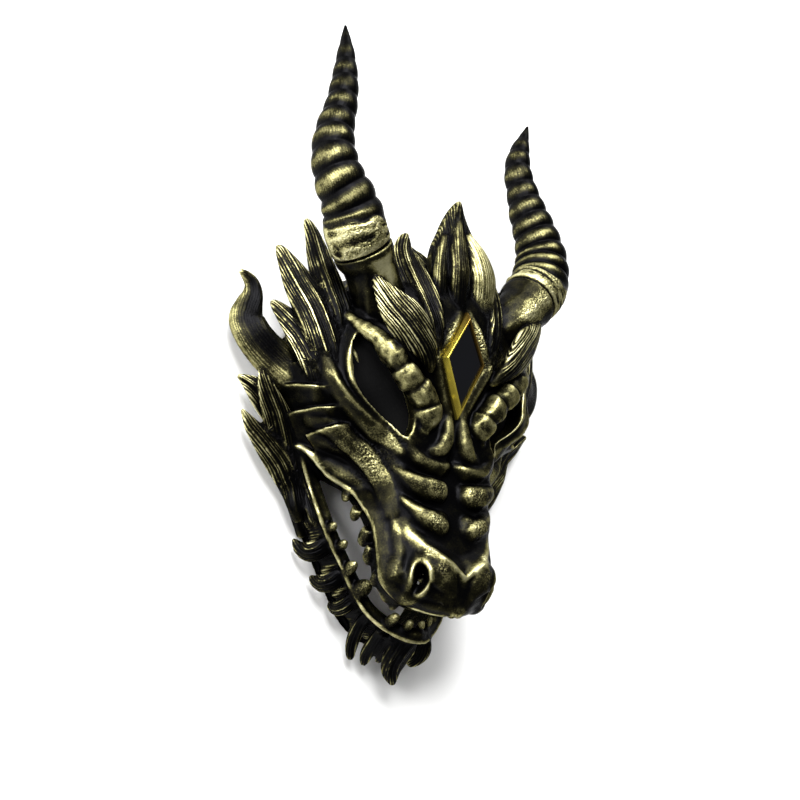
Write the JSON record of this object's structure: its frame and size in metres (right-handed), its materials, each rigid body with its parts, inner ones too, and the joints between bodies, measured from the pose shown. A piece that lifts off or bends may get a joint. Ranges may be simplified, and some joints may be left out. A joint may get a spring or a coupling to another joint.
{
  "type": "dragon mask",
  "caption": "Wearable horned dragon face mask in moulded foam, open at the back, with an open toothed mouth, screened eyes, a mane of carved locks and a lozenge stone on the brow.",
  "frame": {"origin": "under the middle of the mask's box, on the plane of its back rim", "axes": "+Z out of the face, +Y from the chin to the horns, +X to the wearer's left"},
  "size_m": [0.2276, 0.3665, 0.0843],
  "materials": {
    "painted_foam": "satin black paint on moulded foam, dry-brushed with gold",
    "horn_foam": "satin black paint on moulded foam, dry-brushed with gold on the ribs",
    "gold_trim": "bright gold paint",
    "black_gloss": "glossy black",
    "screen_cloth": "matt black open-mesh cloth"
  },
  "bodies": {
    "root": {"mask_shell": "painted_foam", "horn_right": "horn_foam", "horn_left": "horn_foam", "eye_screen_right": "screen_cloth", "eye_screen_left": "screen_cloth", "brow_stone_frame": "gold_trim", "brow_stone": "black_gloss"}
  },
  "joints": []
}
